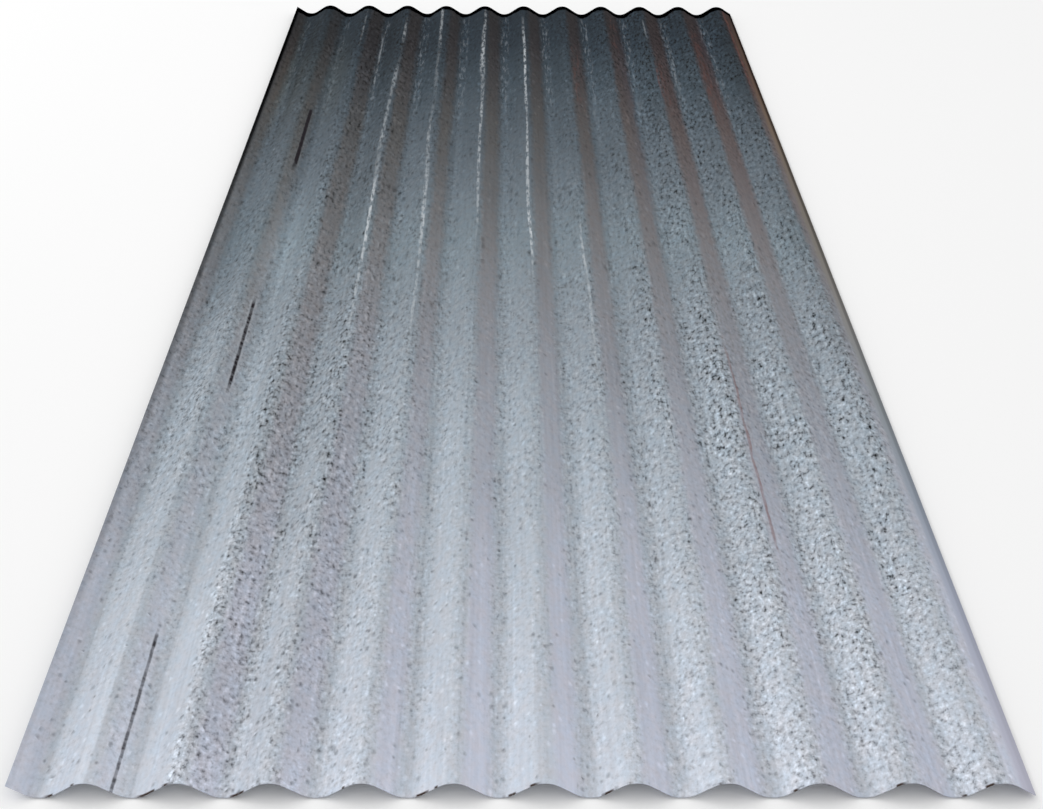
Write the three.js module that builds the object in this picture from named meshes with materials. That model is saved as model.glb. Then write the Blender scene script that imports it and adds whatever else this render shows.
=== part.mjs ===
/**
 * Corrugated metal sheet: a round-wave roofing sheet, roll formed from flat galvanised coil.
 *
 * Millimetres. X runs across the waves, Y runs along them and Z is up. The sheet lies on the
 * floor, z = 0, on the undersides of its valleys, and the origin is under its middle.
 *
 * The wave is what the forming rolls make: a round bend at every crest and valley, joined by a
 * straight flank that is tangent to both. The metal keeps one thickness round every bend, so the
 * bends that face up and those that face down have an inner and an outer radius.
 */

import * as THREE from 'three';

// The profile, measured on the middle of the metal.
const PITCH = 76.2;
const DEPTH = 17.4;
const BEND_RADIUS = 21;
const THICKNESS = 0.6;

// The sheet. Each lap runs from the top of the outermost crest to the sheet's long edge: the left
// one goes down through a valley and turns up again, and the right one ends on its way down.
const LENGTH = 2134;
const CREST_COUNT = 11;
const LEFT_LAP = 65;
const RIGHT_LAP = 28;

// An odd number of facets gives each crest and valley a level strip along its middle.
const FACETS_PER_BEND = 11;

const HALF_PITCH = PITCH / 2;

/** The bends can't grow past the radius at which two neighbours meet with no flank between them. */
const bendRadius = Math.min(BEND_RADIUS, (HALF_PITCH ** 2 + DEPTH ** 2) / (4 * DEPTH));

/** The slope of a flank, which is also how far each bend turns from its middle to its end. */
const flankAngle = tangentFlankAngle(bendRadius);

/** Half the width of a bend, from its middle to where the flank begins. */
const bendReach = bendRadius * Math.sin(flankAngle);

/** The slope of the line that is tangent to a crest's arc and to the next valley's. */
function tangentFlankAngle(radius) {
  const centreRise = 2 * radius - DEPTH;
  const centreDistance = Math.hypot(HALF_PITCH, centreRise);
  return Math.atan2(HALF_PITCH, centreRise) - Math.acos(Math.min(1, (2 * radius) / centreDistance));
}

/**
 * The middle of the metal at a distance x from the first crest's top: its height above the
 * wave's mid-line, and the unit normal there, which points up.
 */
function waveAt(x) {
  const nearestCrest = PITCH * Math.round(x / PITCH);
  const fromCrest = Math.abs(x - nearestCrest);
  const fromValley = HALF_PITCH - fromCrest;
  const crestCentre = DEPTH / 2 - bendRadius;

  let slope = flankAngle;
  let height = -(fromCrest - HALF_PITCH / 2) * Math.tan(flankAngle);
  if (fromCrest < bendReach) {
    slope = Math.asin(fromCrest / bendRadius);
    height = crestCentre + bendRadius * Math.cos(slope);
  } else if (fromValley < bendReach) {
    slope = Math.asin(fromValley / bendRadius);
    height = -crestCentre - bendRadius * Math.cos(slope);
  }

  const fall = Math.sign(x - nearestCrest) * Math.sin(slope);
  return { middle: new THREE.Vector2(x, height), normal: new THREE.Vector2(fall, Math.cos(slope)) };
}

/** Where the facets meet, from the left edge to the right one: the ends of every bend's facets. */
function facetEdges() {
  const left = -LEFT_LAP;
  const right = (CREST_COUNT - 1) * PITCH + RIGHT_LAP;
  const firstBend = Math.floor(left / HALF_PITCH);
  const lastBend = Math.ceil(right / HALF_PITCH);

  const edges = [left];
  for (let bend = firstBend; bend <= lastBend; bend += 1) {
    for (let facet = 0; facet <= FACETS_PER_BEND; facet += 1) {
      const turn = flankAngle * ((2 * facet) / FACETS_PER_BEND - 1);
      const x = bend * HALF_PITCH + bendRadius * Math.sin(turn);
      // A facet narrower than the metal is thick, at a sheet edge, joins its neighbour.
      if (x > edges[edges.length - 1] + THICKNESS && x < right - THICKNESS) {
        edges.push(x);
      }
    }
  }
  edges.push(right);
  return edges;
}

/** The section across the waves: along the upper side of the metal, and back along the lower. */
function sheetSection() {
  const stations = facetEdges().map(waveAt);
  const side = (offset) =>
    stations.map(({ middle, normal }) => middle.clone().addScaledVector(normal, offset));
  return new THREE.Shape([...side(THICKNESS / 2), ...side(-THICKNESS / 2).reverse()]);
}

/** The sheet, extruded along its waves and laid on the floor with the origin under its middle. */
function sheetGeometry() {
  const geometry = new THREE.ExtrudeGeometry(sheetSection(), {
    depth: LENGTH,
    bevelEnabled: false,
  });
  geometry.rotateX(Math.PI / 2);
  geometry.computeBoundingBox();
  const { min, max } = geometry.boundingBox;
  geometry.translate(-(min.x + max.x) / 2, -(min.y + max.y) / 2, -min.z);
  return geometry;
}

const galvanisedSteel = new THREE.MeshStandardMaterial({
  name: 'weathered hot-dip galvanised steel',
  color: 0x8b939b,
  roughness: 0.5,
  metalness: 0.8,
});

const sheet = new THREE.Mesh(sheetGeometry(), galvanisedSteel);
sheet.name = 'sheet';

const corrugatedSheet = new THREE.Group();
corrugatedSheet.name = 'corrugated_metal_sheet';
corrugatedSheet.add(sheet);

export default corrugatedSheet;
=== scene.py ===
"""A weathered corrugated roofing sheet, lying flat on a pale studio floor.

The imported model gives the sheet's box. The visual sheet is formed inside it the way the real one
is rolled: one wave is bent round its valley and its crest, the wave is repeated across the sheet,
the two long edges are cut, and the metal is dented a little and given its thickness. Lengths are
in metres: X runs across the waves, Y along them from the near end to the far end, and Z is up.

A place on the sheet is given in waves to the right of the first crest's top, and as the share of
the length from the near end.
"""

import logging
import math
from dataclasses import dataclass, field
from enum import Enum
from functools import partial

import bmesh
import bpy
from mathutils import Matrix, Vector


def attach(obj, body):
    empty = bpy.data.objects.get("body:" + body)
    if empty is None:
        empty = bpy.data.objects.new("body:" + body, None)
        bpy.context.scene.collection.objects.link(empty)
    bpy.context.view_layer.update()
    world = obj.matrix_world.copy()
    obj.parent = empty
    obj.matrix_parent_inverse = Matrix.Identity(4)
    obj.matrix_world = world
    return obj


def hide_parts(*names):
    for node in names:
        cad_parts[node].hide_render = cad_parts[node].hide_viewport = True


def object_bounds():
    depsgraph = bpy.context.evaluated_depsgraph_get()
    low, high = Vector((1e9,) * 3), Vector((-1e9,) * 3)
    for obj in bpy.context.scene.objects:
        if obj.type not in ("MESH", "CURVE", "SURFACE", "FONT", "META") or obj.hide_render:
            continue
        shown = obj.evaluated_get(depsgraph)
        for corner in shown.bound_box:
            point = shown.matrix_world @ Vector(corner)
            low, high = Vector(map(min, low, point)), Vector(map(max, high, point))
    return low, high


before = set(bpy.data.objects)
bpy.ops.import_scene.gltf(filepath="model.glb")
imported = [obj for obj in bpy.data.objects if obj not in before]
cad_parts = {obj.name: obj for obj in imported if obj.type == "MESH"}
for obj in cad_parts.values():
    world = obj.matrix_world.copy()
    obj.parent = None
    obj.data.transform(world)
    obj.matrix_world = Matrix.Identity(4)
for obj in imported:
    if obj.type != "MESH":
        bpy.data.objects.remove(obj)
CAD_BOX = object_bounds()

LOG = logging.getLogger("corrugated_sheet")
MM = 0.001

Colour = tuple[float, float, float, float]
Stops = list[tuple[float, Colour]]
Numbers = tuple[tuple[float, float], ...]
Hues = tuple[tuple[float, str], ...]
Node = bpy.types.Node
Socket = bpy.types.NodeSocket
Field = Node | Socket  # A value that changes from place to place.


class Kind(Enum):
    """The kinds of node in the finishes and the sky: the node's type, and its settings.

    RANGE and EASED take a value, the two numbers that it runs between and the two that those
    become, or else 0 and 1. MIX, BLEND and STAIN take a share, what stands before and what is laid
    over it by that share.
    """

    POINT = ("TexCoord", {})
    PLACE = ("Mapping", {"vector_type": "TEXTURE"})
    SPLIT_PLACE = ("SeparateXYZ", {})
    JOIN_PLACE = ("CombineXYZ", {})
    NOISE = ("TexNoise", {"noise_dimensions": "2D"})
    CELLS = ("TexVoronoi", {"voronoi_dimensions": "2D"})
    PLUS = ("Math", {"operation": "ADD"})
    MINUS = ("Math", {"operation": "SUBTRACT"})
    TIMES = ("Math", {"operation": "MULTIPLY"})
    TIMES_PLUS = ("Math", {"operation": "MULTIPLY_ADD"})
    OVER = ("Math", {"operation": "DIVIDE"})
    HIGHER = ("Math", {"operation": "MAXIMUM"})
    IS_BELOW = ("Math", {"operation": "LESS_THAN"})
    IS_ABOVE = ("Math", {"operation": "GREATER_THAN"})
    UNSIGNED = ("Math", {"operation": "ABSOLUTE"})
    ROUNDED = ("Math", {"operation": "ROUND"})
    FRACTION = ("Math", {"operation": "FRACT"})
    SCALE_MOVE = ("VectorMath", {"operation": "MULTIPLY_ADD"})
    DISTANCE = ("VectorMath", {"operation": "LENGTH"})
    RANGE = ("MapRange", {})
    EASED = ("MapRange", {"interpolation_type": "SMOOTHSTEP"})
    RAMP = ("ValToRGB", {})
    SPLIT = ("SeparateColor", {})
    MIX = ("Mix", {})
    BLEND = ("Mix", {"data_type": "RGBA"})
    STAIN = ("Mix", {"data_type": "RGBA", "blend_type": "MULTIPLY"})
    BRIGHTEN = ("HueSaturation", {})
    BUMP = ("Bump", {})
    METAL = ("BsdfPrincipled", {})
    MATT = ("BsdfDiffuse", {})
    SURFACE = ("OutputMaterial", {})
    RAYS = ("LightPath", {})
    SKY = ("Background", {})
    WORLD = ("OutputWorld", {})


def srgb(hex_colour: str) -> Colour:
    """Turn an sRGB hex colour into the linear colour that Blender works in.

    Args:
        hex_colour: Six hex digits with a leading hash.

    Returns:
        Linear red, green and blue, with an alpha of 1.
    """
    parts = [int(hex_colour[i : i + 2], 16) / 255 for i in (1, 3, 5)]
    linear = [c / 12.92 if c <= 0.04045 else ((c + 0.055) / 1.055) ** 2.4 for c in parts]
    return (linear[0], linear[1], linear[2], 1.0)


def hues(table: Hues) -> Stops:
    """Turn places and hex colours into the stops of a ramp."""
    return [(at, srgb(colour)) for at, colour in table]


def greys(table: Numbers, white: float = 1.0, first: float = 0.0, last: float = 1.0) -> Stops:
    """Turn places and numbers into the stops of a ramp.

    Args:
        table: The places, and the number at each.
        white: The number that white stands for.
        first: The place where the ramp starts.
        last: The place where it ends.

    Returns:
        The ramp's positions, with the numbers as greys.
    """
    return [
        ((at - first) / (last - first), (number / white, number / white, number / white, 1))
        for at, number in table
    ]


def add(
    tree: bpy.types.NodeTree,
    kind: Kind,
    *values: object,
    named: dict[str, object] | None = None,
    stops: Stops | None = None,
    **settings: object,
) -> Node:
    """Add a node with its settings, and link or set its inputs.

    Args:
        tree: The node tree that gets the node.
        kind: The kind of node.
        *values: A value, a socket or another node for each input in use, in their order. Another
            node stands for its first output in use.
        named: The same, by the input's name.
        stops: The positions and colours of a colour ramp.
        **settings: The node's further properties.

    Returns:
        The new node.
    """
    kind_name, usual = kind.value
    node = tree.nodes.new("ShaderNode" + kind_name)
    for name, value in {**usual, **settings}.items():
        setattr(node, name, value)
    for position, (place, colour) in enumerate(stops or []):
        elements = node.color_ramp.elements
        stop = elements[position] if position < len(elements) else elements.new(place)
        stop.position = place
        stop.color = colour
    sockets = [socket for socket in node.inputs if socket.enabled]
    by_name = {socket.name: socket for socket in sockets}
    given = [*zip(sockets, values), *((by_name[key], named[key]) for key in named or ())]
    for socket, value in given:
        if isinstance(value, Node):
            value = next(output for output in value.outputs if output.enabled)
        if isinstance(value, Socket):
            tree.links.new(value, socket)
        else:
            socket.default_value = value
    return node


# The sheet's shape.


class Bend(Enum):
    """Which way a bend of the wave turns, as the sign of its spin about the Y axis."""

    VALLEY = 1
    CREST = -1


@dataclass(frozen=True)
class WaveProfile:
    """The rolled wave, measured on the middle of the metal."""

    pitch: float = 76.2 * MM
    depth: float = 17.2 * MM
    bend_radius: float = 21 * MM
    thickness: float = 0.6 * MM

    @property
    def flank_angle(self) -> float:
        """The slope of the straight flank that is tangent to a crest's bend and a valley's.

        Returns:
            The slope from level, in radians.
        """
        centre_rise = 2 * self.bend_radius - self.depth
        reach = math.hypot(self.pitch / 2, centre_rise)
        return math.atan2(self.pitch / 2, centre_rise) - math.acos(2 * self.bend_radius / reach)

    @property
    def flank_run(self) -> float:
        """The flank's length, seen from above."""
        return self.pitch / 2 - 2 * self.bend_radius * math.sin(self.flank_angle)


@dataclass(frozen=True)
class Dent:
    """A shallow knock in the metal.

    Attributes:
        wave: The waves to its middle; halves are valleys.
        along: The share of the length to its middle.
        push: How far the metal moved, upwards if positive.
        radius: How far the knock reaches.
    """

    wave: float
    along: float
    push: float
    radius: float


@dataclass
class CorrugatedSheet:
    """The rolled sheet: one closed skin of even thickness, from edge to edge of its box.

    Attributes:
        low: The box's lowest corner.
        high: Its highest corner.
        profile: The rolled wave.
        left_lap: From the left long edge to the first crest's top.
        row_length: How far apart the mesh's rows are along the waves.
        bend_steps: How many faces go round each bend.
        flank_steps: How many faces go along each flank.
        ripple: How far handling has moved the metal up or down at most.
        ripple_size: How far apart those ripples are.
        merge: Points nearer to each other than this become one.
        crease: A fold less sharp than this is shaded as smooth.
        dents: The knocks.
    """

    low: Vector
    high: Vector
    profile: WaveProfile = field(default_factory=WaveProfile)
    left_lap: float = 65.15 * MM
    row_length: float = 10 * MM
    bend_steps: int = 7
    flank_steps: int = 2
    ripple: float = 0.5 * MM
    ripple_size: float = 160 * MM
    merge: float = 0.05 * MM
    crease: float = math.radians(40)
    dents: tuple[Dent, ...] = (
        Dent(8.35, 0.235, -1.2 * MM, 34 * MM),
        Dent(9.3, 0.17, -1.0 * MM, 30 * MM),
        Dent(7.5, 0.30, 0.9 * MM, 30 * MM),
        Dent(1.25, 0.36, -1.0 * MM, 32 * MM),
        Dent(1.6, 0.22, 0.8 * MM, 36 * MM),
        Dent(4.0, 0.55, -0.7 * MM, 28 * MM),
        Dent(5.3, 0.62, -0.7 * MM, 40 * MM),
    )

    @property
    def length(self) -> float:
        """The sheet's length along its waves."""
        return self.high.y - self.low.y

    @property
    def first_crest(self) -> float:
        """The X of the first crest's top."""
        return self.low.x + self.left_lap

    def build(self) -> bpy.types.Object:
        """Form the sheet.

        Returns:
            The finished sheet, with its place in its mesh.
        """
        sheet = self._form_one_wave()
        self._repeat_wave(sheet)
        self._cut_long_edges()
        self._knock_about(sheet)
        self._give_thickness(sheet)
        self._seat_in_box(sheet)
        sheet.name = "rolled_sheet"
        return sheet

    def _form_one_wave(self) -> bpy.types.Object:
        """Bend one wave: down a flank, round a valley, up a flank and round a crest.

        Returns:
            The strip of metal, its length along Y, one wave to the left of the sheet.
        """
        wave = self.profile
        slope = wave.flank_angle
        drop = wave.flank_run * math.tan(slope)
        start = self.first_crest - 2 * wave.pitch
        rows = round(self.length / self.row_length)

        bpy.ops.object.select_all(action="DESELECT")
        bpy.ops.mesh.primitive_grid_add(
            x_subdivisions=self.flank_steps, y_subdivisions=rows, size=1, location=(0, 0, 0)
        )
        strip = bpy.context.object
        bpy.ops.object.mode_set(mode="EDIT")
        bpy.ops.mesh.select_all(action="SELECT")
        bpy.ops.transform.resize(value=(wave.flank_run, self.length, 1), center_override=(0, 0, 0))
        mesh = bmesh.from_edit_mesh(strip.data)
        for vertex in mesh.verts:
            vertex.co.z = -vertex.co.x * math.tan(slope)
            vertex.co.x += start + wave.pitch / 4
        bmesh.update_edit_mesh(strip.data)

        self._select_right_edge(strip)
        self._spin(Bend.VALLEY, (start + wave.pitch / 2, 0, wave.bend_radius - wave.depth / 2))
        self._extrude_flank(wave.flank_run, drop)
        self._spin(Bend.CREST, (start + wave.pitch, 0, wave.depth / 2 - wave.bend_radius))
        bpy.ops.object.mode_set(mode="OBJECT")
        return strip

    def _select_right_edge(self, strip: bpy.types.Object) -> None:
        """Select the vertices along the metal's right-hand edge.

        Args:
            strip: The metal, in edit mode.
        """
        mesh = bmesh.from_edit_mesh(strip.data)
        right = max(vertex.co.x for vertex in mesh.verts)
        for vertex in mesh.verts:
            vertex.select = vertex.co.x > right - 2 * self.merge
        mesh.select_flush_mode()
        bmesh.update_edit_mesh(strip.data)

    def _spin(self, bend: Bend, centre: tuple[float, float, float]) -> None:
        """Bend the metal on from its selected edge, round a centre."""
        angle = bend.value * 2 * self.profile.flank_angle
        bpy.ops.mesh.spin(steps=self.bend_steps, angle=angle, center=centre, axis=(0, 1, 0))

    def _extrude_flank(self, run: float, rise: float) -> None:
        """Carry the metal on from its selected edge, along a straight flank.

        Args:
            run: How far to the right.
            rise: How far up, or down below zero.
        """
        step = (run / self.flank_steps, 0, rise / self.flank_steps)
        for _ in range(self.flank_steps):
            bpy.ops.mesh.extrude_region_move(TRANSFORM_OT_translate={"value": step})

    def _repeat_wave(self, sheet: bpy.types.Object) -> None:
        """Repeat the wave across the sheet, past both of its long edges.

        Args:
            sheet: The strip of one wave.
        """
        width = self.high.x - self.low.x
        array = sheet.modifiers.new("waves", "ARRAY")
        array.count = math.ceil(width / self.profile.pitch) + 2
        array.use_relative_offset = False
        array.use_constant_offset = True
        array.constant_offset_displace = (self.profile.pitch, 0, 0)
        array.use_merge_vertices = True
        array.merge_threshold = self.merge
        bpy.ops.object.modifier_apply(modifier=array.name)
        bpy.ops.object.mode_set(mode="EDIT")
        bpy.ops.mesh.select_all(action="SELECT")
        bpy.ops.mesh.remove_doubles(threshold=self.merge)
        bpy.ops.mesh.normals_make_consistent(inside=False)
        bpy.ops.object.mode_set(mode="OBJECT")

    def _cut_long_edges(self) -> None:
        """Shear the sheet to its width."""
        bpy.ops.object.mode_set(mode="EDIT")
        for edge, outer in ((self.low.x, False), (self.high.x, True)):
            bpy.ops.mesh.select_all(action="SELECT")
            bpy.ops.mesh.bisect(
                plane_co=(edge, 0, 0),
                plane_no=(1, 0, 0),
                clear_inner=not outer,
                clear_outer=outer,
            )
        bpy.ops.object.mode_set(mode="OBJECT")

    def _knock_about(self, sheet: bpy.types.Object) -> None:
        """Give the metal the faint ripple of handling, and its few dents.

        Args:
            sheet: The sheet.
        """
        cloud = bpy.data.textures.new("handling_ripple", "CLOUDS")
        cloud.noise_scale = self.ripple_size
        cloud.noise_depth = 1
        ripple = sheet.modifiers.new("ripple", "DISPLACE")
        ripple.texture = cloud
        ripple.texture_coords = "LOCAL"
        ripple.direction = "Z"
        ripple.mid_level = 0.5
        ripple.strength = 2 * self.ripple
        bpy.ops.object.modifier_apply(modifier=ripple.name)

        bpy.ops.object.mode_set(mode="EDIT")
        for dent in self.dents:
            x = self.first_crest + dent.wave * self.profile.pitch
            y = self.low.y + dent.along * self.length
            mesh = bmesh.from_edit_mesh(sheet.data)
            bpy.ops.mesh.select_all(action="DESELECT")
            nearest = min(mesh.verts, key=lambda v: (v.co.x - x) ** 2 + (v.co.y - y) ** 2)
            nearest.select = True
            mesh.select_flush_mode()
            bmesh.update_edit_mesh(sheet.data)
            bpy.ops.transform.translate(
                value=(0, 0, dent.push),
                use_proportional_edit=True,
                proportional_size=dent.radius,
                proportional_edit_falloff="SMOOTH",
            )
        bpy.ops.object.mode_set(mode="OBJECT")

    def _give_thickness(self, sheet: bpy.types.Object) -> None:
        """Turn the surface into metal of even thickness, with closed edges.

        Args:
            sheet: The sheet's surface, on the middle of the metal.
        """
        solid = sheet.modifiers.new("thickness", "SOLIDIFY")
        solid.thickness = self.profile.thickness
        solid.offset = 0
        solid.use_even_offset = True
        bpy.ops.object.modifier_apply(modifier=solid.name)
        bpy.ops.object.shade_smooth_by_angle(angle=self.crease)

    def _seat_in_box(self, sheet: bpy.types.Object) -> None:
        """Stand the sheet on the floor and bring its edges and crests to the sides of its box.

        Args:
            sheet: The sheet, which its ripple and the tilt of its edges have carried past the box.
        """
        places = [vertex.co for vertex in sheet.data.vertices]
        low = Vector(min(place[axis] for place in places) for axis in range(3))
        high = Vector(max(place[axis] for place in places) for axis in range(3))
        scale = [(self.high[axis] - self.low[axis]) / (high[axis] - low[axis]) for axis in range(3)]
        sheet.data.transform(
            Matrix.Translation(self.low) @ Matrix.Diagonal((*scale, 1)) @ Matrix.Translation(-low)
        )


# The finish.


@dataclass(frozen=True)
class Streak:
    """A narrow mark that runs along a wave.

    Attributes:
        wave: The waves to the mark.
        start: The share of the length at which it starts.
        end: The share at which it ends.
        width: Its width where it is widest, in millimetres.
        strength: How much of the metal it hides, before it is broken up.
        drift: Waves by which it strays to the right from its start to its end.
    """

    wave: float
    start: float
    end: float
    width: float
    strength: float = 1.0
    drift: float = 0.0


@dataclass(frozen=True)
class Rub:
    """A bright line where things slid over the sheet have rubbed the crest of a wave.

    Attributes:
        wave: The waves to the line.
        course: From the near end to the far end: the share of the length, the waves by which the
            line strays to the right there, its width in millimetres, and how bright it is.
    """

    wave: float
    course: tuple[tuple[float, float, float, float], ...]


@dataclass(frozen=True)
class Patch:
    """A soft-edged place that is darker, paler or browner than the metal round it.

    Attributes:
        wave: The waves to its middle.
        along: The share of the length to its middle.
        half_width: Half its width, in waves.
        half_length: Half its length, as a share of the sheet's.
        tone: What it multiplies the colour by.
        warmth: How much more red it leaves and how much less blue.
    """

    wave: float
    along: float
    half_width: float
    half_length: float
    tone: float
    warmth: float = 0.0


# How far from its middle a line along the waves fades out, and how far in it is full, in widths.
LINE_EDGE = 0.8
LINE_CORE = 0.2

# The same for a patch, in its half width and half length.
PATCH_EDGE = 1.4
PATCH_CORE = 0.2

# How strong each finer size in a cloud is, and the values that nearly all of a cloud lies between.
FINER_SHARE = 0.65
CLOUD_RANGE = (0.3, 0.7)

# How far the smallest and the largest pit reach, and where one is full, as shares of their spacing.
SMALL_PIT, LARGE_PIT = 0.28, 0.62
PIT_CORE = 0.05

# The lines rubbed bright, from the left of the sheet to the right.
RUBS = (
    Rub(1, ((0.88, 0, 3, 0), (0.93, 0, 3, 0.14), (0.98, 0, 3, 0.05))),
    Rub(1.5, ((0.78, 0, 3, 0), (0.82, 0, 3, 0.14), (0.9, 0, 3, 0.14), (0.95, 0, 3, 0))),
    Rub(
        2,
        (
            (0.34, -0.02, 3, 0), (0.4, -0.02, 3, 0.26), (0.45, -0.02, 3.6, 0.32),
            (0.49, -0.01, 3.8, 0.52), (0.57, -0.023, 3.8, 0.5), (0.6, -0.03, 6, 0.22),
            (0.64, -0.05, 7, 0.1), (0.68, -0.05, 6, 0.24), (0.73, -0.035, 5, 0.17),
            (0.77, -0.02, 4.5, 0.15), (0.8, -0.005, 7, 0.24), (0.83, 0.01, 5, 0.1),
            (0.85, 0.03, 4, 0.02), (0.89, 0.035, 4, 0.03), (0.92, 0.04, 5, 0.24),
            (0.945, 0.04, 4, 0.12), (0.97, 0.04, 4, 0),
        ),
    ),
    Rub(
        3,
        (
            (0.34, -0.02, 3, 0.05), (0.4, -0.01, 3.5, 0.28), (0.44, 0.01, 3, 0.26),
            (0.49, 0.003, 4, 0.28), (0.52, 0, 5, 0.46), (0.56, -0.02, 5, 0.3),
            (0.6, -0.016, 5.8, 0.26), (0.64, -0.05, 5.6, 0.14), (0.68, -0.08, 4.8, 0.24),
            (0.72, -0.07, 4, 0.08), (0.76, -0.03, 4, 0.04), (0.8, -0.05, 7, 0.09),
            (0.84, -0.07, 4.5, 0.1), (0.88, -0.05, 7, 0.04), (0.91, -0.065, 5, 0.2),
            (0.96, -0.075, 4.5, 0.26), (1, -0.09, 5.5, 0.3),
        ),
    ),
    Rub(
        4,
        (
            (0.48, 0, 2.5, 0), (0.52, 0.02, 3, 0.14), (0.56, 0.012, 3.2, 0.25),
            (0.6, 0.004, 4.4, 0.26), (0.64, 0, 4.2, 0.34), (0.68, 0, 4, 0.22),
            (0.72, 0.018, 4, 0.38), (0.76, 0.022, 4.2, 0.22), (0.8, 0.022, 7, 0.15),
            (0.84, -0.008, 8, 0.32), (0.88, -0.004, 6, 0.37), (0.92, 0, 6, 0.22),
            (0.96, 0.028, 4.5, 0.22), (1, 0.015, 4, 0.05),
        ),
    ),
    Rub(
        5,
        (
            (0.38, 0.03, 2.5, 0), (0.44, 0.03, 2.5, 0.08), (0.47, 0.033, 3, 0.36),
            (0.51, 0.01, 3.5, 0.62), (0.55, -0.022, 4.2, 0.42), (0.6, -0.016, 5, 0.32),
            (0.64, -0.008, 4.2, 0.36), (0.68, 0, 3.6, 0.38), (0.72, 0.008, 3.6, 0.18),
            (0.76, -0.005, 4.4, 0.33), (0.8, -0.009, 3.8, 0.32), (0.84, -0.004, 4, 0.52),
            (0.88, 0, 4.4, 0.37), (0.92, -0.02, 4.6, 0.27), (0.95, -0.03, 4.5, 0.1),
            (0.98, -0.03, 4, 0),
        ),
    ),
    Rub(
        5.98,
        (
            (0.27, 0, 2.5, 0), (0.34, 0.01, 3, 0.2), (0.41, 0.01, 3.4, 0.3), (0.44, 0, 3, 0.16),
            (0.47, -0.03, 3.4, 0.36), (0.5, -0.045, 3, 0.26), (0.54, -0.04, 2.5, 0),
        ),
    ),
    Rub(8, ((0.9, 0, 3, 0), (0.925, 0, 3, 0.12), (0.95, 0, 3, 0.1), (0.965, 0, 3, 0))),
    Rub(8.52, ((0.76, 0, 4, 0), (0.84, 0, 4, 0.12), (0.92, 0, 4, 0))),
)

# Painted shadow: dark dashes beside the first wave, the shade in the gap under the lifted edge of
# another sheet that lapped over this one.
LAP_SHADOWS = (
    Streak(0.28, -0.02, 0.107, 2.8, 0.95),
    Streak(0.262, 0.295, 0.425, 3.8, 1.05),
    Streak(0.265, 0.618, 0.752, 5, 1.4),
)

# Painted highlights beside those dashes, where the lapped sheet's lifted edge catches the light.
LAP_HIGHLIGHTS = (
    Streak(0.285, -0.02, 0.105, 8, 0.28),
    Streak(0.262, 0.29, 0.43, 9, 0.34),
    Streak(0.28, 0.62, 0.75, 9, 0.12),
)

# Rust that has run along the waves, most of it at the far end.
RUST_RUNS = (
    Streak(8.15, 0.11, 0.39, 3.5, 0.55, -0.05),
    Streak(10.14, 0.72, 1.06, 6, 0.42),
    Streak(6.2, 0.7, 0.92, 15, 0.2),
    Streak(7.22, 0.86, 1, 15, 0.14),
    Streak(8.18, 0.7, 0.88, 13, 0.2),
    Streak(8.07, 0.74, 0.86, 5, 0.34),
    Streak(9.2, 0.68, 0.98, 19, 0.24),
)

# The places where the skin is darker, paler or browner than round them.
PATCHES = tuple(
    Patch(*numbers)
    for numbers in (
        (-0.35, 0.5, 0.5, 0.1, 0.8, -0.02), (-0.22, 0.84, 0.22, 0.16, 0.8, 0.1),
        (-0.65, 0.86, 0.2, 0.18, 1.16), (-0.45, 0.62, 0.3, 0.34, 0.93),
        (-0.68, 0.15, 0.15, 0.35, 0.9), (0.45, 0.5, 0.3, 0.08, 1.25),
        (0.58, 0.34, 0.25, 0.08, 1.15), (0.6, 0.15, 0.3, 0.15, 1.1),
        (0.4, 0.9, 0.3, 0.08, 1.15, 0.05), (0.62, 0.83, 0.3, 0.12, 1, 0.09),
        (0.16, 0.52, 0.14, 0.2, 1, 0.03), (-0.6, 0.87, 0.2, 0.18, 1, 0.16),
        (0.15, 0.83, 0.22, 0.22, 1, 0.09), (1.25, 0.82, 0.16, 0.2, 1, -0.05),
        (7.35, 0.82, 0.12, 0.28, 1, -0.07), (9.38, 0.9, 0.1, 0.12, 1, -0.07),
        (1.66, 0.87, 0.38, 0.13, 0.64), (1.88, 0.74, 0.16, 0.1, 0.9),
        (2.62, 0.88, 0.4, 0.08, 0.88), (-0.34, 0.8, 0.25, 0.1, 0.94), (2.2, 0.05, 1, 0.05, 0.96),
        (1.75, 0.36, 0.25, 0.45, 0.95), (1.22, 0.3, 0.24, 0.16, 0.92, 0.02),
        (1.6, 0.56, 0.45, 0.18, 0.84), (1.2, 0.2, 1.3, 0.17, 0.92), (1.25, 0.05, 0.3, 0.07, 0.85),
        (2.15, 0.12, 0.3, 0.15, 0.87), (1, 0.66, 1.6, 0.14, 0.95), (1, 0.93, 1.8, 0.12, 0.9),
        (6.7, 0.84, 0.4, 0.14, 1.18), (7.5, 0.83, 0.3, 0.12, 1.2), (8.65, 0.8, 0.3, 0.16, 1.13),
        (9.5, 0.92, 0.3, 0.06, 1.25), (10, 0.45, 0.3, 0.22, 0.85), (9.98, 0.83, 0.2, 0.16, 0.72),
        (8.4, 0.2, 2, 0.2, 0.97), (9.82, 0.1, 0.22, 0.16, 0.93), (9.5, 0.14, 0.18, 0.2, 1.03),
        (8.6, 0.04, 1.6, 0.11, 0.94), (4.2, 0.32, 1.5, 0.16, 1.04),
    )
)


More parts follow.
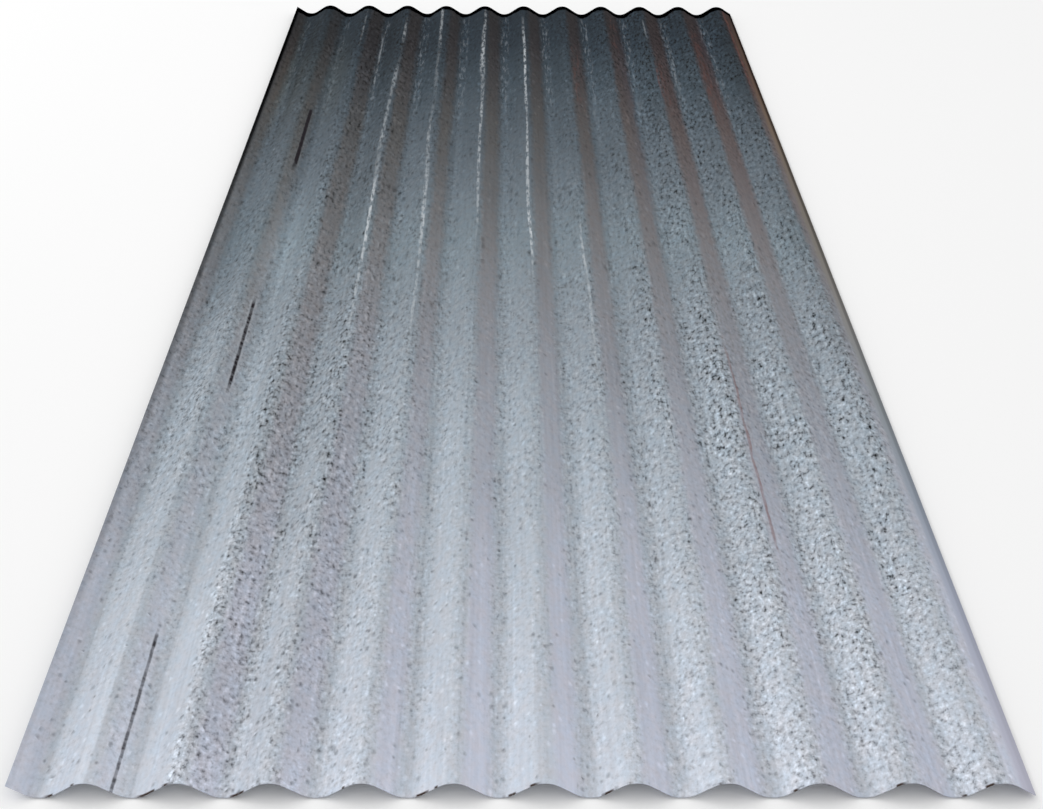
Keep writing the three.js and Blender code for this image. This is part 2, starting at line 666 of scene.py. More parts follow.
class SheetPlaces:
    """Where a point is on the sheet, and the patterns that are drawn from that.

    Attributes:
        node: Adds a node to the finish.
        pitch: The distance between crests.
        point: The point itself, in metres.
        wave: The waves to the point.
        along: The share of the length to the point.
        side: The waves to the point from the nearest crest.
        crest: Which crest that is.
        phase: The share of a wave from the crest on its left.
        wear: Fine streaks along the waves.
        ragged: The waves to the point, shaken so that a line drawn by it has ragged sides.
        strayed: The same, shaken more slowly too, so that the line wanders.
    """

    def __init__(self, tree: bpy.types.NodeTree, sheet: CorrugatedSheet) -> None:
        """Add the nodes that measure the sheet.

        Args:
            tree: The material's node tree.
            sheet: The sheet's sizes.
        """
        self.node = partial(add, tree)
        self.pitch = sheet.profile.pitch
        self.point = self.node(Kind.POINT).outputs["Object"]
        start, size = (sheet.first_crest, sheet.low.y, 0), (self.pitch, sheet.length, 1)
        place = self.node(Kind.PLACE, self.point, named={"Location": start, "Scale": size})
        split = self.node(Kind.SPLIT_PLACE, place)
        self.wave, self.along = split.outputs["X"], split.outputs["Y"]
        self.crest = self.node(Kind.ROUNDED, self.wave)
        self.side = self.node(Kind.MINUS, self.wave, self.crest)
        self.phase = self.node(Kind.FRACTION, self.wave)
        self.wear = self.clouds(4.5, 36, 3.0)
        shaken = self.node(Kind.TIMES_PLUS, self.wear, 0.03, -0.015)
        self.ragged = self.node(Kind.PLUS, self.wave, shaken)
        wander = self.clouds(400, 110, swing=0.08)
        self.strayed = self.node(Kind.PLUS, self.ragged, wander)

    def clouds(
        self,
        width: float,
        length: float,
        detail: float = 2.0,
        swing: float | None = None,
        middle: float = 0.0,
    ) -> Node:
        """Draw uneven clouds of a real size.

        Args:
            width: The clouds' spacing across the waves, in millimetres.
            length: Their spacing along the waves, in millimetres.
            detail: How many finer sizes are added to them.
            swing: From their lowest value to their highest, or None for zero to one.
            middle: Their middle value, if they have a swing.

        Returns:
            The clouds' value.
        """
        size = (width * MM, length * MM, width * MM)
        cells = self.node(Kind.PLACE, self.point, named={"Scale": size})
        noise = self.node(Kind.NOISE, cells, 1.0, detail, FINER_SHARE)
        if swing is None:
            return noise
        return self.node(Kind.TIMES_PLUS, noise, swing, middle - swing / 2)

    def between(
        self, value: Field, start: float | None, end: float | None, soft: float
    ) -> Node:
        """Mark where a value lies between two others.

        Args:
            value: What is measured.
            start: Where the mark begins, or None if nothing is before it.
            end: Where it ends, or None if nothing is past it.
            soft: How far each end fades.

        Returns:
            One inside, zero outside.
        """
        mask: Node | float = 1.0
        for edge, fade in ((start, soft), (end, -soft)):
            if edge is not None:
                inside = self.node(Kind.EASED, value, edge - fade / 2, edge + fade / 2)
                mask = self.node(Kind.TIMES, mask, inside)
        return mask

    def _line(self, across: Field, middle: Node, width: Field | float, bright: float) -> Node:
        """Draw a line along the waves.

        Args:
            across: The waves to the point.
            middle: The waves to the line's middle.
            width: Its width in waves.
            bright: How strong it is in its middle.

        Returns:
            How much of the metal the line hides.
        """
        away = self.node(Kind.UNSIGNED, self.node(Kind.MINUS, across, middle))
        away = self.node(Kind.OVER, away, width)
        return self.node(Kind.EASED, away, LINE_EDGE, LINE_CORE, 0, bright)

    def streaks(
        self,
        marks: tuple[Streak, ...],
        across: Field,
        breaks: Node,
        broken: float,
        tail: float,
    ) -> Node:
        """Draw narrow marks along the waves.

        Args:
            marks: The marks.
            across: The waves to the point.
            breaks: The noise that breaks the marks up.
            broken: How much of a mark the noise takes away at most.
            tail: The share of a mark's length over which each end fades.

        Returns:
            How much of the metal the marks hide.
        """
        drawn: Node | float = 0.0
        for mark in marks:
            strayed = mark.wave + mark.drift
            middle = self.node(Kind.RANGE, self.along, mark.start, mark.end, mark.wave, strayed)
            body = self._line(across, middle, mark.width * MM / self.pitch, mark.strength)
            fade = (mark.end - mark.start) * tail
            ends = self.between(self.along, mark.start + fade / 2, mark.end - fade / 2, fade)
            drawn = self.node(Kind.HIGHER, drawn, self.node(Kind.TIMES, body, ends))
        gaps = self.node(Kind.RANGE, breaks, 0.36, 0.64, 0, broken)
        return self.node(Kind.MINUS, drawn, gaps, use_clamp=True)

    def rubs(self, lines: tuple[Rub, ...]) -> Node:
        """Draw the bright lines rubbed along the crests.

        One ramp holds a line's course: how far it strays in its red, its width in its green and
        how bright it is in its blue.

        Args:
            lines: The lines.

        Returns:
            How much of the metal they brighten.
        """
        widest, strays = 12 * MM, 3.0
        drawn: Node | float = 0.0
        for line in lines:
            stops = [
                (at, (0.5 + strays * stray, width * MM / widest, bright, 1))
                for at, stray, width, bright in line.course
            ]
            course = self.node(Kind.SPLIT, self.node(Kind.RAMP, self.along, stops=stops))
            stray, width, bright = (course.outputs[name] for name in ("Red", "Green", "Blue"))
            middle = self.node(Kind.TIMES_PLUS, stray, 1 / strays, line.wave - 0.5 / strays)
            width = self.node(Kind.TIMES, width, widest / self.pitch)
            body = self.node(Kind.TIMES, self._line(self.ragged, middle, width, 1.0), bright)
            drawn = self.node(Kind.HIGHER, drawn, body)
        worn = self.node(Kind.RANGE, self.clouds(5, 20), 0.40, 0.62, 1.8, 0.1)
        return self.node(Kind.TIMES, drawn, worn, use_clamp=True)

    def patches(self, places: tuple[Patch, ...], colour: Node) -> Node:
        """Stain a colour with soft-edged darker and paler places.

        Args:
            places: The places.
            colour: The colour before.

        Returns:
            The stained colour.
        """
        flat = self.node(Kind.JOIN_PLACE, self.wave, self.along)
        for place in places:
            narrow, short = 1 / place.half_width, 1 / place.half_length
            middle = (-place.wave * narrow, -place.along * short, 0)
            spot = self.node(Kind.SCALE_MOVE, flat, (narrow, short, 0), middle)
            mask = self.node(Kind.EASED, self.node(Kind.DISTANCE, spot), PATCH_EDGE, PATCH_CORE)
            tone, warmth = place.tone, place.warmth
            stain = (tone * (1 + warmth), tone, tone * (1 - warmth), 1)
            colour = self.node(Kind.STAIN, mask, colour, stain)
        return colour

    def pits(self, density: Node, width: float, length: float) -> Node:
        """Draw pits as dark specks, with pale specks among them: zinc salts, and painted glints off
        the pits' rims.

        Args:
            density: The share of places for a pit that hold one.
            width: The spacing of those places across the waves, in millimetres.
            length: Their spacing along the waves, in millimetres.

        Returns:
            Minus one in a pit, above zero on the pale specks of salt and painted glint, and zero on
            whole metal.
        """
        size = (width * MM, length * MM, width * MM)
        cells = self.node(Kind.PLACE, self.point, named={"Scale": size})
        spots = self.node(Kind.CELLS, cells, 1.0)
        chance = self.node(Kind.SPLIT, spots.outputs["Color"])
        luck, big = chance.outputs["Red"], chance.outputs["Green"]
        reach = self.node(Kind.RANGE, big, 0, 1, SMALL_PIT, LARGE_PIT)
        spot = self.node(Kind.RANGE, spots.outputs["Distance"], reach, PIT_CORE)
        pit = self.node(Kind.IS_BELOW, luck, density)
        # Pale specks: zinc salts, and painted glints off the pits' rims.
        rare = self.node(Kind.TIMES_PLUS, density, -0.7, 0.97)
        salt_and_glint = self.node(Kind.TIMES, self.node(Kind.IS_ABOVE, luck, rare), 0.6)
        return self.node(Kind.TIMES, self.node(Kind.MINUS, salt_and_glint, pit), spot)


@dataclass(frozen=True)
class WeatheredZinc:
    """Hot-dip galvanised steel after years outdoors.

    Dipped in molten zinc, the steel came out bright and spangled. Weather has turned that to a
    matt blue-grey skin of zinc carbonate, with no spangle left and hardly a reflection. It is
    chalky and pale at the near end and nearly black at the far end: partly a darker patina, and
    partly painted shade, the far end's dim reflection painted into the colour. It is pitted where
    water stood, and scuffed bright along some crests. Light and shade are painted across each
    wave, and the side of each wave that faces right is darker and browner, from silt that dries
    there last and from painted shade. Painted shadow blackens the cut edges and the dashes where
    another sheet lapped, with painted highlights beside those dashes, and painted glints stand
    among the pits.

    Attributes:
        sheet: The sheet's sizes.
        zinc: The bare skin's colour from the near end to the far end, darker with age and with
            painted shade.
        silt_and_shade: The colour of the band down the right-facing side of each wave, partly silt
        and partly painted shade.
        silt_and_shade_bands: For each wave, where that band begins and ends, in waves from the
            crest,
        and how much of the skin it hides.
        wave_shading_near: The light and shade painted across each wave at the near end, from one
            crest to the next.
        wave_shading_far: The same at the far end.
        crisp: The sharper light and shade of the left lap and the first wave.
        grain_tone: How pale the grain is, by the value of its noise.
        pit_depth: How strongly the pits show along the sheet.
        right_edge: The colour of the right lap's rim along the sheet.
        rough_near: How pitted each wave is at the near end.
        rough_far: The same past a third of the way.
        rust_tint: What rust multiplies the silt's colour by.
        cool: What the bluest clouds multiply the skin's colour by.
        warm: The same for the brownest.
        skin_metal: How metallic the skin is where it is pale and where it is black.
        skin_roughness: How rough it is there.
        relief: The height of the bumps that chalk and pits leave.
    """

    sheet: CorrugatedSheet
    zinc: Hues = (
        (0, "#BFC5D0"), (0.12, "#B3BAC4"), (0.25, "#A0A9B3"), (0.4, "#88919A"), (0.5, "#78848D"),
        (0.6, "#656F78"), (0.7, "#525C65"), (0.8, "#3E4952"), (0.9, "#28323B"), (1, "#1F2932"),
    )
    silt_and_shade: Hues = (
        (0, "#C5C9D8"), (0.12, "#BABECC"), (0.25, "#A2A6B1"), (0.4, "#8B8D94"), (0.5, "#7C7D81"),
        (0.6, "#696A6D"), (0.7, "#575758"), (0.8, "#434244"), (0.9, "#2E2C2F"), (1, "#232224"),
    )
    silt_and_shade_bands: tuple[tuple[float, float, float], ...] = (
        (-0.3, 0.4, 0.8), (0.12, 0.34, 0.6), (0.11, 0.43, 1), (0.08, 0.39, 1), (0.12, 0.37, 1),
        (0.1, 0.4, 1), (0.1, 0.38, 1), (0.08, 0.38, 1), (0.06, 0.41, 1), (0.07, 0.43, 1),
        (0.07, 0.46, 1), (0.06, 0.6, 1),
    )
    wave_shading_near: Numbers = (
        (0, 0.98), (0.06, 0.95), (0.18, 1), (0.3, 1.07), (0.35, 1), (0.44, 0.95), (0.48, 0.89),
        (0.53, 0.96), (0.61, 1.04), (0.67, 1.13), (0.82, 1.08), (1, 0.98),
    )
    wave_shading_far: Numbers = (
        (0, 0.98), (0.08, 0.86), (0.2, 0.95), (0.34, 1), (0.42, 0.98), (0.5, 1.25), (0.55, 1.28),
        (0.65, 1.16), (0.85, 1.02), (1, 0.98),
    )
    crisp: Numbers = (
        (-0.62, 1), (-0.525, 0.95), (-0.51, 1.05), (-0.42, 1), (-0.1, 1), (-0.015, 1.04),
        (0.005, 0.95), (0.1, 1), (0.4, 1), (0.475, 0.95), (0.495, 1.05), (0.58, 1), (0.8, 1),
        (0.91, 1.04), (0.94, 0.97), (1.05, 1),
    )
    grain_tone: Numbers = (
        (0.26, 0.14), (0.38, 0.37), (0.46, 0.48), (0.54, 0.52), (0.62, 0.59), (0.74, 0.74),
    )
    pit_depth: Numbers = (
        (0, 0.7), (0.06, 0.9), (0.14, 1.05), (0.22, 1.08), (0.3, 1.04), (0.38, 1.1), (0.5, 0.8),
        (0.6, 0.88), (0.7, 1.02), (0.78, 1.05), (0.88, 1.4), (0.97, 1.5),
    )
    right_edge: Hues = (
        (0, "#B8B8C7"), (0.12, "#A5ABBC"), (0.2, "#939CA9"), (0.3, "#888E92"), (0.4, "#848280"),
        (0.5, "#77726B"), (0.6, "#71685F"), (0.7, "#6C5C4E"), (0.8, "#5A4437"), (0.9, "#4B372B"),
        (1, "#301D18"),
    )
    rough_near: Numbers = (
        (-0.5, 0.17), (0, 0.18), (0.08, 0.27), (0.45, 0.25), (0.52, 0.13), (0.84, 0.15),
        (0.92, 0.78), (1.08, 0.78), (1.5, 0.6), (1.7, 0.34), (1.9, 0.42), (2.05, 0.68),
        (2.45, 0.5), (2.7, 0.3), (3, 0.4), (3.2, 0.26), (3.5, 0.28), (3.75, 0.19), (4.5, 0.3),
        (4.75, 0.15), (5.5, 0.31), (5.75, 0.26), (6.5, 0.4), (6.72, 0.36), (6.95, 0.46),
        (7.5, 0.55), (8.05, 0.72), (9, 0.69), (9.45, 0.42), (9.65, 0.8), (9.9, 0.5), (10.2, 0.4),
    )
    rough_far: Numbers = (
        (-0.5, 0.46), (0, 0.52), (0.5, 0.44), (0.78, 0.3), (0.93, 0.82), (1.1, 0.86), (1.42, 0.9),
        (1.65, 0.5), (1.95, 0.84), (2.4, 0.68), (2.7, 0.35), (3, 0.51), (3.45, 0.42), (3.75, 0.25),
        (4, 0.33), (4.5, 0.44), (4.75, 0.26), (5.5, 0.39), (5.75, 0.34), (6, 0.52), (6.5, 0.44),
        (6.75, 0.5), (6.9, 0.7), (7.5, 0.62), (7.8, 0.94), (8, 0.92), (8.5, 0.8), (9, 0.8),
        (9.6, 0.68), (9.9, 0.8), (10.2, 1),
    )
    rust_tint: Colour = (1.25, 0.93, 0.90, 1)
    cool: Colour = (0.98, 1.01, 1.015, 1)
    warm: Colour = (1.03, 0.995, 0.96, 1)
    rust: str = "#7A4638"
    fleck: str = "#A4ACB4"
    # Painted highlight beside the lap's shadow dashes.
    lap_highlight: str = "#C8CCD2"
    scuff: str = "#C0C6CB"
    # Painted shadow in the gap under a lapped sheet's lifted edge.
    lap_shadow: str = "#160F17"
    nick: str = "#3E302B"
    # Painted shadow along the cut edges and across the far end.
    edge_shadow: str = "#020203"
    skin_metal: tuple[float, float] = (0.5, 0.08)
    skin_roughness: tuple[float, float] = (0.55, 0.85)
    scuff_metal: float = 0.75
    scuff_roughness: float = 0.42
    relief: float = 0.25 * MM

    def build(self) -> bpy.types.Material:
        """Make the material.

        Returns:
            The material, for the sheet's only slot.
        """
        material = bpy.data.materials.new("weathered_hot_dip_galvanised_steel")
        material.use_nodes = True
        tree = material.node_tree
        tree.nodes.clear()
        places = SheetPlaces(tree, self.sheet)
        node = places.node

        # How dark the skin is goes from zero, chalky, at the near end to one, black, at the far
        # end:
        # partly its age, and partly painted shade, the far end's dim reflection painted into the
        # colour.
        uneven = places.clouds(120, 420, 3.0, swing=0.06)
        patina_and_shade = node(Kind.PLUS, places.along, uneven, use_clamp=True)
        # The band down each wave's right-facing side is partly silt and partly painted shade.
        silted_and_shaded = self._silt_and_shade_band(places)
        tone = self._tone(places, patina_and_shade, self._pitting(places, silted_and_shaded))
        skin = self._skin(places, patina_and_shade, silted_and_shaded)
        skin = node(Kind.BRIGHTEN, named={"Color": skin, "Value": tone})
        scuffs = places.rubs(RUBS)
        # Painted shadow: black along the cut edges and across the far end.
        edge_shadows = self._edge_shadows(places)
        colour = self._marks(places, places.patches(PATCHES, skin), scuffs, edge_shadows)

        metal = node(Kind.RANGE, patina_and_shade, 0, 1, *self.skin_metal)
        metal = node(Kind.MIX, scuffs, metal, self.scuff_metal)
        rough = node(Kind.RANGE, patina_and_shade, 0, 1, *self.skin_roughness)
        bumps = places.clouds(5, 8, 1.0)
        relief = {"Height": bumps, "Strength": 0.5, "Distance": self.relief}
        # Where edge shadow is painted, the metal is fully metallic with a black tint, so it
        # reflects nothing and the painted shadow stays black.
        shader = node(
            Kind.METAL,
            named={
                "Base Color": colour,
                "Metallic": node(Kind.MIX, edge_shadows, metal, 1.0),
                "Roughness": node(Kind.MIX, scuffs, rough, self.scuff_roughness),
                "Specular IOR Level": 0.1,
                "Specular Tint": node(Kind.BLEND, edge_shadows, (1, 1, 1, 1), (0, 0, 0, 1)),
                "Normal": node(Kind.BUMP, named=relief),
            },
        )
        node(Kind.SURFACE, shader)
        return material

    def _silt_and_shade_band(self, places: SheetPlaces) -> Node:
        """Mark the right-facing side of each wave: silt dries there, and shade is painted there, as
        that side faces away from the light.

        Args:
            places: Where a point is on the sheet.

        Returns:
            One on the band and zero beside it.
        """
        node = places.node
        count = len(self.silt_and_shade_bands)
        # A ramp holds nothing below zero, so a band's sides stand half a wave further on in it.
        stops = [
            (band / count, (0.5 + start, 0.5 + end, strength, 1))
            for band, (start, end, strength) in enumerate(self.silt_and_shade_bands)
        ]
        which = node(Kind.RANGE, places.crest, -1.5, count - 1.5)
        bands = node(Kind.RAMP, which, stops=stops)
        bands.color_ramp.interpolation = "CONSTANT"
        band = node(Kind.SPLIT, bands)
        start, end, silted_and_shaded = (band.outputs[name] for name in ("Red", "Green", "Blue"))
        wander = places.clouds(60, 300, 4.0, swing=0.10)
        ragged = places.clouds(6, 22, swing=0.12, middle=0.5)
        side = node(Kind.PLUS, node(Kind.PLUS, places.side, wander), ragged)
        for right, left, soft in ((side, start, 0.14), (end, side, 0.16)):
            within = places.between(node(Kind.MINUS, right, left), 0, None, soft)
            silted_and_shaded = node(Kind.TIMES, silted_and_shaded, within)
        return silted_and_shaded

    def _skin(self, places: SheetPlaces, patina_and_shade: Node, silted_and_shaded: Node) -> Node:
        """Colour the carbonate skin, and the band of silt and painted shade on it.

        Args:
            places: Where a point is on the sheet.
            patina_and_shade: How dark the skin is, from its age and from painted shade towards the
                far end.
            silted_and_shaded: Where the band of silt and painted shade lies.

        Returns:
            The colour.
        """
        node = places.node
        # The band's colour is partly silt and partly painted shade, for the side that faces away
        # from the light.
        zinc, silt_and_shade = (node(Kind.RAMP, patina_and_shade, stops=hues(table)) for table in (self.zinc, self.silt_and_shade))
        right = places.between(places.wave, 7, None, 5)
        late = places.between(patina_and_shade, 0.6, None, 0.5)
        silt_and_shade = node(Kind.STAIN, node(Kind.TIMES, right, late), silt_and_shade, self.rust_tint)
        warmed = node(Kind.RANGE, places.clouds(11, 20), *CLOUD_RANGE)
        tinge = node(Kind.BLEND, warmed, self.cool, self.warm)
        return node(Kind.STAIN, 1.0, node(Kind.BLEND, silted_and_shaded, zinc, silt_and_shade), tinge)

    def _pitted(self, places: SheetPlaces, silted_and_shaded: Node, patches: Node) -> Node:
        """Say how pitted the metal is, most on the waves that held water.

        Args:
            places: Where a point is on the sheet.
            silted_and_shaded: The band of silt and painted shade, whose silt keeps the metal's face
                smooth.
            patches: Clouds where the pits are thicker.

        Returns:
            Zero for whole metal, and about one where it is pitted all over.
        """
        node = places.node
        first, last, deepest = -1.0, 11.0, 4.0
        across = node(Kind.RANGE, places.wave, first, last)
        near, far = (
            node(Kind.RAMP, across, stops=greys(table, first=first, last=last))
            for table in (self.rough_near, self.rough_far)
        )
        later = places.between(places.along, 0.20, None, 0.20)
        rough = node(Kind.SPLIT, node(Kind.BLEND, later, near, far))
        patchy = node(Kind.RANGE, patches, *CLOUD_RANGE, 0.6, 1.4)
        deep = node(Kind.RAMP, places.along, stops=greys(self.pit_depth, white=deepest))
        smooth = node(Kind.RANGE, places.wave, 2.5, 4.5, -0.25, -0.7)
        less = node(Kind.RANGE, places.along, 0.6, 0.8, 1, 0.3)
        smooth = node(Kind.TIMES, smooth, less)
        kept = node(Kind.TIMES_PLUS, smooth, silted_and_shaded, 1.0)
        for share in (patchy, node(Kind.SPLIT, deep), kept):
            rough = node(Kind.TIMES, rough, share)
        return rough

    def _pitting(self, places: SheetPlaces, silted_and_shaded: Node) -> Node:
        """Draw the pits and the grain between them.

        Both are small and round at the near end. Towards the far end they have run together into
        short grooves along the waves, and pale specks stand out from dark metal instead.

        Args:
            places: Where a point is on the sheet.
            silted_and_shaded: The band of silt and painted shade.

        Returns:
            What the pits and grain multiply the colour by.
        """
        node = places.node
        patches = places.clouds(30, 110)
        rough = self._pitted(places, silted_and_shaded, patches)
        reached = node(Kind.TIMES_PLUS, patches, 0.45, places.along)
        past_near, past_middle, past_far = (
            places.between(reached, edge, None, 0.05) for edge in (0.42, 0.66, 0.95)
        )
        sparse = places.between(places.wave, 0.85, 2.75, 0.2)

        # One pit is 0.5 to 1 mm wide, too fine to show, so the grain is drawn as coarse as the
        # clusters that pits stand in: 4 to 5 mm across the waves and up to three times as long.
        grain = places.clouds(4.0, 5.8)
        for past, length in ((past_near, 9.5), (past_middle, 12)):
            grain = node(Kind.MIX, past, grain, places.clouds(4.8, length))
        salted = node(Kind.MINUS, 1.0, places.clouds(5.0, 15))
        grain = node(Kind.MIX, past_far, grain, salted)
        swing = node(Kind.SPLIT, node(Kind.RAMP, grain, stops=greys(self.grain_tone)))
        swing = node(Kind.MINUS, swing, 0.5)
        depth = node(Kind.RANGE, sparse, 0, 1, 11, 9.8)
        swing = node(Kind.TIMES, swing, node(Kind.TIMES, rough, depth))

        # The deepest pits and the pale specks, thickest salts and painted glints, stand singly.
        # They are drawn 2 to 5 mm wide, coarser than they are, so that each still shows.
        density = node(Kind.TIMES, rough, 1.6)
        near, far = places.pits(density, 5.5, 9), places.pits(density, 8, 24)
        strength = node(Kind.RANGE, sparse, 0, 1, 0.35, 0.48)
        strength = node(Kind.MIX, past_far, strength, -0.5)
        specks = node(Kind.MIX, past_middle, near, far)
        specks = node(Kind.TIMES_PLUS, specks, strength, 1.0)
        return node(Kind.PLUS, swing, specks)

    def _tone(self, places: SheetPlaces, patina_and_shade: Node, pitting: Node) -> Node:
        """Lighten and darken the skin: with painted light and shade across each wave, in clouds and
        streaks, and by its pits.

        Args:
            places: Where a point is on the sheet.
            patina_and_shade: How dark the skin is, from its age and from painted shade towards the
                far end.
            pitting: What the pits multiply the colour by.

        Returns:
            What the colour is multiplied by.
        """
        node = places.node
        palest, first, last = 2.0, -1.0, 1.2
        # Light and shade painted across each wave, from one crest to the next, at the near end and
        # at the far end.
        near, far = (
            node(Kind.RAMP, places.phase, stops=greys(table, white=palest))
            for table in (self.wave_shading_near, self.wave_shading_far)
        )
        late = node(Kind.RANGE, patina_and_shade, 0.2, 0.8)
        tone = node(Kind.SPLIT, node(Kind.BLEND, late, near, far))
        # Sharper painted light and shade on the left lap and the first wave, fading out by the
        # middle of the sheet.
        across = node(Kind.RANGE, places.ragged, first, last)
        crisp = node(Kind.RAMP, across, stops=greys(self.crisp, palest, first, last))
        crisp = node(Kind.MINUS, node(Kind.SPLIT, crisp), 1 / palest)
        fading = node(Kind.RANGE, places.along, 0.25, 0.55, palest, 0)
        crisp = node(Kind.TIMES_PLUS, crisp, fading, 1.0)
        clouds = places.clouds(90, 260, 3.0, swing=0.16, middle=1.0)
        drips = places.clouds(4, 220, 1.0, swing=0.2, middle=1.0)
        for share in (palest, crisp, clouds, drips, pitting):
            tone = node(Kind.TIMES, tone, share)
        return tone

    def _edge_shadows(self, places: SheetPlaces) -> Node:
        """Paint shadow along the cut edges: black down each long edge and across the far end.

        Args:
            places: Where a point is on the sheet.

        Returns:
            How strong the painted edge shadow is.
        """
        node = places.node
        # Painted shadow: a black band down each long edge, stronger towards the far end, and a
        # ragged black band across the far end.
        left = places.between(places.wave, None, -0.785, 0.07)
        right = places.between(places.wave, 10.29, None, 0.05)
        edge_shadows: Node | float = 0.0
        for edge_shadow, near, far in ((left, 0.05, 0.95), (right, 0.08, 0.66)):
            edge_shade = node(Kind.RANGE, places.along, 0, 0.8, near, far)
            edge_shadows = node(Kind.TIMES_PLUS, edge_shadow, edge_shade, edge_shadows)
        frayed = node(Kind.TIMES_PLUS, places.clouds(16, 40, 3.0), 0.010, places.along)
        return node(Kind.HIGHER, edge_shadows, places.between(frayed, 0.9945, None, 0.003))

    def _marks(self, places: SheetPlaces, colour: Node, scuffs: Node, edge_shadows: Node) -> Node:
        """Lay the scuffs, the rust, the painted shadow and highlights at the lap and the painted
        shadow along the cut edges over the skin.

        Args:
            places: Where a point is on the sheet.
            colour: The skin's colour.
            scuffs: Where the crests are scuffed.
            edge_shadows: Where shadow is painted along the cut edges.

        Returns:
            The colour with its marks.
        """
        node = places.node
        edge = node(Kind.RAMP, places.along, stops=hues(self.right_edge))
        on_edge = places.between(places.strayed, 10.19, None, 0.12)
        rust = places.streaks(RUST_RUNS, places.strayed, places.wear, broken=0.3, tail=0.3)
        dots = places.clouds(12, 11)
        # Painted highlights beside the lap's shadow dashes.
        lap_highlights = places.streaks(LAP_HIGHLIGHTS, places.wave, dots, broken=0.25, tail=0.15)
        # Painted shadow dashes where a lapped sheet's lifted edge lay.
        marks = places.streaks(LAP_SHADOWS, places.wave, dots, broken=0.45, tail=0.15)

        flecks = node(Kind.RANGE, places.wear, 0.52, 0.68, 0, 0.30)
        in_valley = places.between(places.phase, 0.43, 0.60, 0.12)
        far_end = places.between(places.along, 0.74, 0.99, 0.08)
        inner = node(Kind.RANGE, places.wave, 0.8, 2.2, 0.45)
        for mask in (in_valley, far_end, inner):
            flecks = node(Kind.TIMES, flecks, mask)
        nicks = node(Kind.RANGE, places.clouds(14, 400), 0.47, 0.56)
        near_lip = places.between(places.along, None, 0.0009, 0.0008)
        rising = places.between(places.phase, 0.56, 0.92, 0.10)
        for mask in (near_lip, rising):
            nicks = node(Kind.TIMES, nicks, mask)

        colour = node(Kind.BLEND, on_edge, colour, edge)
        for mask, finish in (
            (rust, self.rust),
            (flecks, self.fleck),
            (lap_highlights, self.lap_highlight),
            (scuffs, self.scuff),
            (marks, self.lap_shadow),
            (nicks, self.nick),
            (edge_shadows, self.edge_shadow),
        ):
            colour = node(Kind.BLEND, mask, colour, srgb(finish))
        return colour


# The studio.


@dataclass(frozen=True)
class BackdropPaper:
    """Uncoated paper: pressed but not glazed, it scatters light evenly and has no highlight."""

    colour: str = "#FAFAFA"

    def build(self) -> bpy.types.Material:
        """Make the material.

        Returns:
            The material, for the floor.
        """
        paper = bpy.data.materials.new("matt_backdrop_paper")
        paper.use_nodes = True
        tree = paper.node_tree
        tree.nodes.clear()
        add(tree, Kind.SURFACE, add(tree, Kind.MATT, srgb(self.colour)))
        return paper


@dataclass(frozen=True)
class Viewpoint:
    """Where the camera stands, and how far it looks right and down and leans to the left."""

    position: tuple[float, float, float] = (-15.0 * MM, -2035.0 * MM, 964.4 * MM)
    heading: float = math.radians(0.660)
    down: float = math.radians(30.998)
    roll: float = math.radians(0.463)
    focal_pixels: float = 1594.0
    image_width: float = 1043.0
    sensor_width: float = 36.0

    def build(self) -> bpy.types.Object:
        """Place the camera.

        Returns:
            The scene's camera.
        """
        ahead = Vector((math.sin(self.heading), math.cos(self.heading), 0))
        right = Vector((math.cos(self.heading), -math.sin(self.heading), 0))
        up = Vector((0, 0, 1))
        look = ahead * math.cos(self.down) - up * math.sin(self.down)
        above = up * math.cos(self.down) + ahead * math.sin(self.down)
        camera_right = right * math.cos(self.roll) + above * math.sin(self.roll)
        camera_up = above * math.cos(self.roll) - right * math.sin(self.roll)

        lens = bpy.data.cameras.new("camera")
        lens.sensor_width = self.sensor_width
        lens.lens = self.focal_pixels / self.image_width * lens.sensor_width
        camera = bpy.data.objects.new("camera", lens)
        turn = Matrix((camera_right, camera_up, -look)).transposed().to_4x4()
        camera.matrix_world = Matrix.Translation(self.position) @ turn
        bpy.context.collection.objects.link(camera)
        bpy.context.scene.camera = camera
        return camera


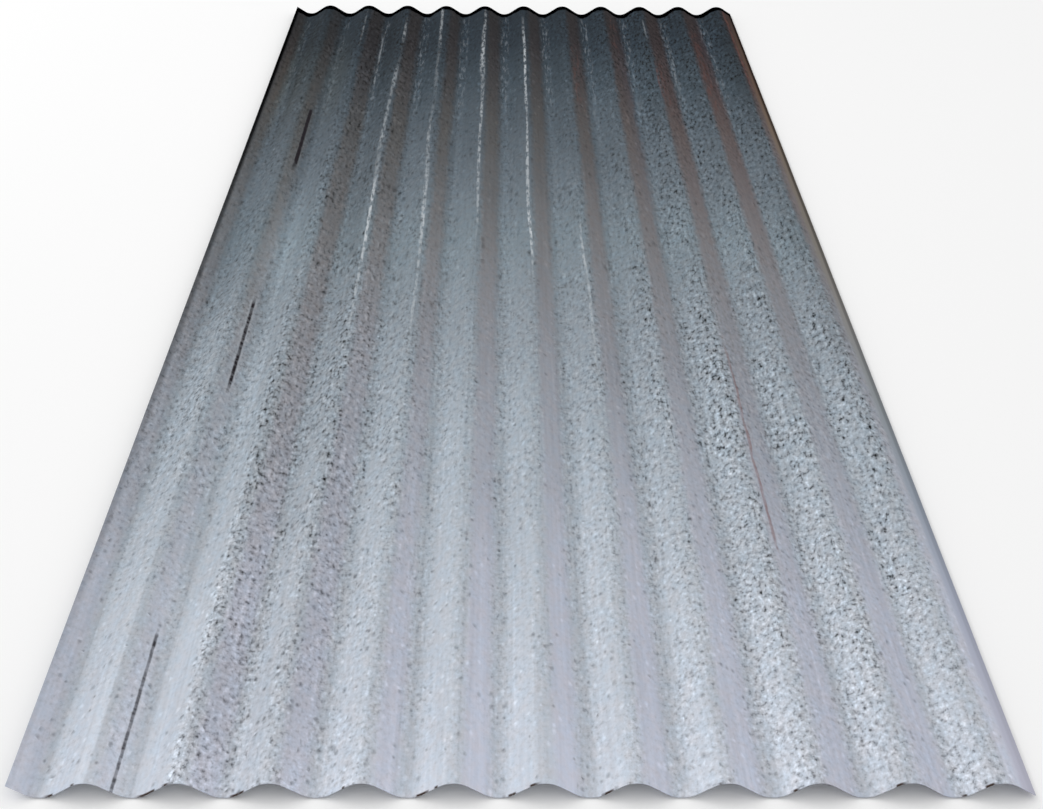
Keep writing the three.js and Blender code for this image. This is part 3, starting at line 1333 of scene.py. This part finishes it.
@dataclass(frozen=True)
class Studio:
    """A plain white room: a floor, an even sky and one soft lamp on the left.

    The floor lies a hair below the sheet, so that the two don't share a face.
    """

    paper: BackdropPaper = BackdropPaper()
    floor_size: float = 40.0
    floor_sides: int = 96
    floor_drop: float = 0.05 * MM
    sky_strength: float = 0.87
    key_energy: float = 42.0
    key_size: float = 3.0
    key_position: tuple[float, float, float] = (-3.2, 1.2, 3.4)

    def build(self) -> bpy.types.Object:
        """Make the floor, the sky and the lamp.

        Returns:
            The floor.
        """
        self._sky()
        self._key()
        bpy.ops.object.select_all(action="DESELECT")
        bpy.ops.mesh.primitive_circle_add(
            vertices=self.floor_sides,
            radius=self.floor_size / 2,
            fill_type="NGON",
            location=(0, 0, -self.floor_drop),
        )
        floor = bpy.context.object
        floor.name = "floor"
        floor.data.materials.append(self.paper.build())
        return floor

    def _sky(self) -> None:
        """Light from all round, which shows as white to the camera and in the metal."""
        world = bpy.data.worlds.new("studio")
        bpy.context.scene.world = world
        world.use_nodes = True
        tree = world.node_tree
        tree.nodes.clear()
        rays = add(tree, Kind.RAYS).outputs
        seen = add(tree, Kind.PLUS, rays["Is Camera Ray"], rays["Is Glossy Ray"])
        seen = add(tree, Kind.PLUS, seen, rays["Is Transmission Ray"], use_clamp=True)
        strength = add(tree, Kind.RANGE, seen, 0, 1, self.sky_strength, 1)
        add(tree, Kind.WORLD, add(tree, Kind.SKY, (1, 1, 1, 1), strength))

    def _key(self) -> None:
        """Hang the soft lamp, facing the sheet."""
        light = bpy.data.lights.new("key", "AREA")
        light.energy = self.key_energy
        light.size = self.key_size
        lamp = bpy.data.objects.new("key", light)
        lamp.location = self.key_position
        lamp.rotation_euler = (-Vector(self.key_position)).to_track_quat("-Z", "Y").to_euler()
        bpy.context.collection.objects.link(lamp)


def main() -> None:
    """Build the studio and the sheet."""
    logging.basicConfig(level=logging.INFO, format="%(name)s: %(message)s")
    bpy.context.scene.view_settings.view_transform = "Standard"
    Viewpoint().build()
    Studio().build()

    low, high = CAD_BOX
    maker = CorrugatedSheet(low=Vector(low), high=Vector(high))
    sheet = maker.build()
    sheet.data.materials.clear()
    sheet.data.materials.append(WeatheredZinc(maker).build())
    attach(sheet, "root")
    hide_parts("sheet")
    sheet.data.calc_loop_triangles()
    LOG.info("%s: %d triangles", sheet.name, len(sheet.data.loop_triangles))


if __name__ == "__main__":
    main()
